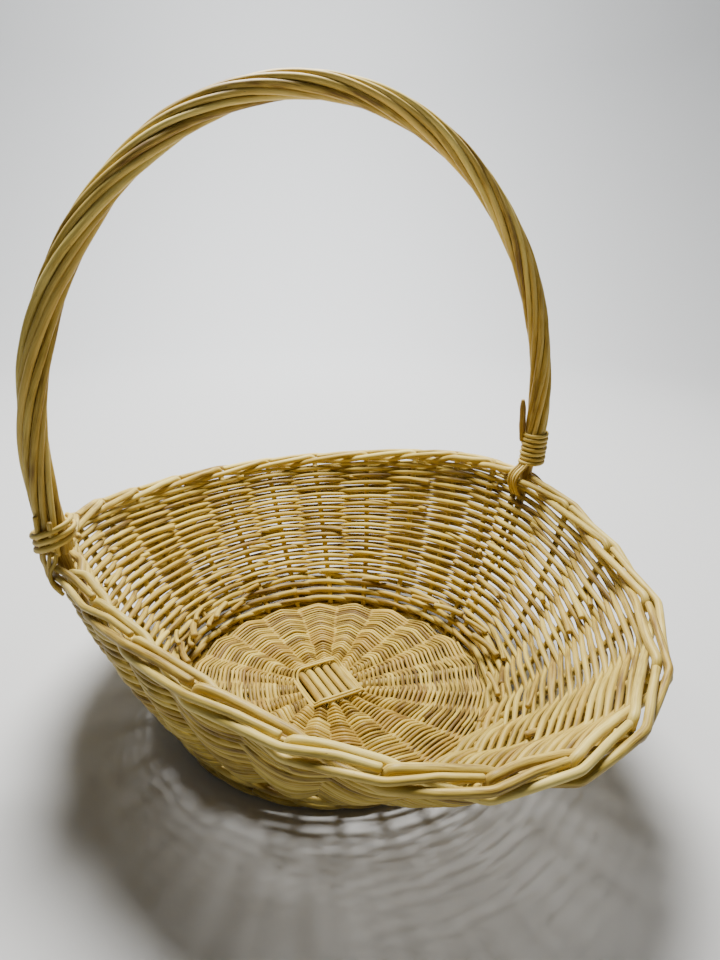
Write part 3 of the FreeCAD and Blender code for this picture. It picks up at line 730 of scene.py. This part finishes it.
def arch_at(s, rad, ang):
    """Point at length s round the bow, at radius rad and angle ang about it."""
    P = np.stack([np.interp(s, AS, ARCH[:, i]) for i in range(3)], -1)
    X = np.stack([np.interp(s, AS, AX[:, i]) for i in range(3)], -1)
    Y = np.stack([np.interp(s, AS, AY[:, i]) for i in range(3)], -1)
    o = X * np.cos(ang)[:, None] + Y * np.sin(ang)[:, None]
    return P + o * np.asarray(rad)[:, None], o


def leg_points(side):
    uu = np.array([0.985, 0.935, 0.88, 0.80, 0.68, 0.55, 0.42])
    top, deep = (180.0, 178.3) if side < 0 else (0.0, -1.8)
    ang = np.radians(top + (deep - top) * np.clip((0.985 - uu) / 0.565, 0, 1))
    return wall(ang, uu)[0], np.array([4.7, 4.6, 3.8, 3.2, 2.7, 2.2, 1.6])


R = Rods("handle_bow_rod")
lp, lr = leg_points(-1)
rp, rr_ = leg_points(1)
mid = ARCH[6:-6:6]
P = path(np.concatenate([lp[::-1], mid, rp]), 5.0, 4.0)
s = arc_length(P)
key = np.concatenate([lp[::-1], mid, rp])
kr = np.concatenate([lr[::-1], np.full(len(mid), 4.7), rr_])
ks = arc_length(key)
r = np.interp(s * ks[-1] / s[-1], ks, kr)
R.add(P, r, (0, 1, 0), sides=16, knots=0.03, tint=(-0.6, 0.2, 0.3))
R.build(MAT_HANDLE_PAINTED_LIGHT, "willow_bow", ["handle_bow"])

R = Rods("handle_rope_rods_roped")
NR = 9
S0 = float(np.interp(168.6, ARCH[:100, 2], AS[:100]))
S1 = AS[-1] - S0 + 0.0
TURNS = 2.75
for k in range(NR):
    s0 = S0 + rng.uniform(-1, 2)
    s1 = S1 - rng.uniform(0, 2)
    ss = np.arange(s0, s1, 3.2)
    f = (ss - S0) / (S1 - S0)
    rr = 2.55 + rng.normal(0, 0.14) - 0.45 * (f if rng.rand() < 0.5 else 1 - f)
    ang = TAU * (k / NR + TURNS * f) + 0.10 * noise1(ss, 38.0, k * 2.0)
    rad = 4.7 + rr - 0.05 + 0.35 * np.clip(noise1(ss, 30.0, k * 3.7 + 1), 0, 1)
    near_r = np.exp(-(np.clip(S1 - 4.0 - ss, 0, None) / 26.0) ** 2)
    rad = rad * (1 - 0.17 * near_r)
    rr = rr * (1 - 0.16 * near_r)
    P, o = arch_at(ss, rad, ang)
    R.add(P, rr, o, sides=12, rough=0.03, knots=0.06, grow=1.3, squash=0.96, tint=(rng.normal(0, 1.2), rng.normal(0, 1), rng.uniform(0, 0.25)))
R.build(MAT_HANDLE_PAINTED_LIGHT, "willow_handle", ["handle_rope_rods"])


def binding(name, side, z0, turns, pitch, r, R_in, tilt, tilt_ang, node, loose=0.0):
    Rr = Rods(name)
    a = np.arange(0, TAU * turns, TAU / 26)
    z = z0 + pitch * a / TAU
    c = bow_point(z, side)
    rad = R_in + r + 0.1 + loose * np.clip(np.sin(a * 0.5 + 1.0), 0, 1) + 0.2 * noise1(a, 1.6, side * 2.0)
    P = c + np.stack([rad * np.cos(a), rad * np.sin(a), np.zeros(len(a))], -1)
    P[:, 2] += tilt * np.cos(a - tilt_ang) + 0.25 * noise1(a, 2.1, side * 5.0 + 9)
    o = np.stack([np.cos(a), np.sin(a), np.zeros(len(a))], -1)
    f = np.linspace(0, 1, len(a))
    Rr.add(P, r * (1.05 - 0.12 * f), o, sides=11, rough=0.03, squash=0.82, tint=(0.5, -0.2, 0.04))
    Rr.build(MAT_HANDLE_PAINTED_LIGHT, "willow_handle", [node])


binding("left_binding_rod", -1, 174.2, 3.1, 4.9, 2.0, 9.8, 3.6, math.radians(-27), "left_binding", 1.5)
binding("right_binding_rod", 1, 169.4, 7.0, 4.1, 1.8, 8.1, 0.6, math.radians(120), "right_binding", 0.25)

R = Rods("left_tail_rods")
c = bow_point(np.array(171.0), -1)
for k, a in enumerate(np.radians([188, 208, 230, 252])):
    o = np.array([math.cos(a), math.sin(a), 0])
    P = np.array([c + o * 10.8 + [0, 0, 2.0], c + o * 11.8 + [0, 0, -4.0],
                  [-208.0 + 0.5 * k, -1.0 - 2.9 * k, 163.0], [-208.0 + 0.3 * k, -3.4 - 2.5 * k, 157.0],
                  [-205.4, -5.4 - 2.2 * k, 151.5], [-201.5, -7.0 - 2.0 * k, 147.5 - 0.6 * k]])
    P = P + rng.normal(0, 0.25, P.shape)
    R.add(path(P, 2.0, 1.6), 1.3, (0.3, 1, 0.1), sides=10, tint=(rng.normal(-0.4, 0.8), rng.normal(), rng.uniform(0.1, 0.35)))
R.build(MAT_HANDLE_PAINTED_LIGHT, "willow_handle", ["left_rope_tails"])

R = Rods("right_tail_rods")
for k, y in enumerate((-4.5, -1.5, 1.6, 4.6)):
    pts = np.array([(189.5, 170.8), (186.5, 167.6), (182.0, 165.4), (178.4, 161.8), (177.4, 156.5), (178.6, 151.0), (181.0, 146.5), (183.5, 143.5)])
    j = rng.normal(0, 0.25, pts.shape)
    P = np.stack([pts[:, 0] + j[:, 0], y + 0.3 * (k - 1.5) * np.clip((165 - pts[:, 1]) / 30, 0, 1), pts[:, 1] + j[:, 1]], -1)
    R.add(path(P, 2.0, 1.6), 1.25, (0, 1, 0.1), sides=10, tint=(rng.normal(0, 0.8), rng.normal(), rng.uniform(0.05, 0.25)))
R.build(MAT_HANDLE_PAINTED_LIGHT, "willow_handle", ["right_rope_tails"])

R = Rods("right_stub_rod")
c = bow_point(np.array(207.0), 1)
P = path([c + [-10.6, 6.0, -16], c + [-11.2, 6.3, -4], c + [-11.9, 6.5, 9.0], c + [-12.7, 6.8, 19.0]], 2.0, 1.6)
R.add(P, np.interp(arc_length(P), [0, 12, 30, 36], [2.4, 3.0, 2.7, 1.5]), (0, 1, 0), sides=12, rough=0.05, bevel=0.8, tint=(-1.2, 0.5, 0.6))
R.build(MAT_HANDLE_PAINTED_LIGHT, "willow_handle", ["right_broken_stub"])

R = Rods("left_stub_rods")
for ang, h in ((211, 15.0), (257, 11.5), (60, 9.5)):
    a = math.radians(ang)
    c = bow_point(np.array(183.0), -1)
    o = np.array([11.0 * math.cos(a), 11.0 * math.sin(a), 0])
    R.add(path([c + o * 0.9 + [0, 0, -8], c + o, c + o * 1.02 + [0, 0, h]], 2.0, 1.5), 1.65, (0.3, 1, 0), sides=11, tint=(0.2, 0.3, 0.12))
R.build(MAT_HANDLE_PAINTED_LIGHT, "willow_handle", ["left_stub_ends"])

# ------------------------------------------------------------------ stage: a pale light tent
prof = [(0.0, 0.0), (0.8, 0.0), (1.5, 0.0)]
for i in range(1, 17):
    a = math.radians(90 * i / 16)
    prof.append((1.5 + 1.1 * math.sin(a), 1.1 * (1 - math.cos(a))))
prof += [(2.6, 1.8), (2.6, 2.6)]
seg = 96
vs, fs, dark_fs = [], [], []
CAM_AZ = math.radians(-120.0)
for r_, z_ in prof:
    for i in range(seg):
        a = TAU * i / seg
        vs.append((r_ * math.cos(a), r_ * math.sin(a), z_))
for p in range(len(prof) - 1):
    for i in range(seg):
        a, b = p * seg + i, p * seg + (i + 1) % seg
        facing = math.cos(TAU * (i + 0.5) / seg - CAM_AZ)
        (dark_fs if p >= 6 and facing > 0.10 else fs).append((a, b, b + seg, a + seg))
me = bpy.data.meshes.new("studio_floor")
me.from_pydata([Vector(v) for v in vs], [], fs)
me.polygons.foreach_set("use_smooth", [True] * len(me.polygons))
floor = bpy.data.objects.new("studio_floor", me)
bpy.context.scene.collection.objects.link(floor)
fm = bpy.data.materials.new("studio_paper")
fm.use_nodes = True
fb = fm.node_tree.nodes["Principled BSDF"]
fb.inputs["Base Color"].default_value = (0.56, 0.565, 0.57, 1)
fb.inputs["Roughness"].default_value = 0.75
fb.inputs["Specular IOR Level"].default_value = 0.2
me.materials.append(fm)
me2 = bpy.data.meshes.new("studio_front")
used = sorted({i for f in dark_fs for i in f})
idx = {v: n for n, v in enumerate(used)}
me2.from_pydata([Vector(vs[i]) for i in used], [], [tuple(idx[i] for i in f) for f in dark_fs])
front = bpy.data.objects.new("studio_front", me2)
bpy.context.scene.collection.objects.link(front)
dm = bpy.data.materials.new("studio_dark")
dm.use_nodes = True
db = dm.node_tree.nodes["Principled BSDF"]
db.inputs["Base Color"].default_value = (0.13, 0.128, 0.125, 1)
db.inputs["Roughness"].default_value = 0.9
db.inputs["Specular IOR Level"].default_value = 0.1
me2.materials.append(dm)


def area(name, loc, target, size, power, color=(1, 1, 1)):
    d = bpy.data.lights.new(name, "AREA")
    d.shape = "DISK"
    d.size = size
    d.energy = power
    d.color = color
    o = bpy.data.objects.new(name, d)
    o.location = loc
    o.rotation_euler = (Vector(target) - Vector(loc)).to_track_quat("-Z", "Y").to_euler()
    bpy.context.scene.collection.objects.link(o)


area("top_light", (0.17, 0.42, 1.50), (0, 0, 0.1), 0.68, 74.0, (1.0, 0.985, 0.95))
area("back_light", (0.55, 1.25, 1.25), (0.95, 2.2, -0.1), 0.5, 46.0, (0.975, 0.99, 1.0))
w = bpy.data.worlds.new("studio_world")
bpy.context.scene.world = w
w.use_nodes = True
bg = w.node_tree.nodes["Background"]
bg.inputs["Color"].default_value = (0.97, 0.985, 1.0, 1)
bg.inputs["Strength"].default_value = 0.04

# ------------------------------------------------------------------ camera
yaw, pitch, roll = 0.5048, 0.3619, 0.0188
fwd = Vector((math.sin(yaw) * math.cos(pitch), math.cos(yaw) * math.cos(pitch), -math.sin(pitch)))
right = Vector((math.cos(yaw), -math.sin(yaw), 0))
up = right.cross(fwd)
r2 = right * math.cos(roll) + up * math.sin(roll)
u2 = -right * math.sin(roll) + up * math.cos(roll)
cd = bpy.data.cameras.new("camera")
cd.sensor_width = 36.0
cd.lens = 711.833 * 36.0 / 960.0
cd.clip_start, cd.clip_end = 0.01, 50
cam = bpy.data.objects.new("camera", cd)
M = Matrix((r2, u2, -fwd)).transposed().to_4x4()
M.translation = Vector((-0.2292, -0.4554, 0.3799))
cam.matrix_world = M
bpy.context.scene.collection.objects.link(cam)
bpy.context.scene.camera = cam
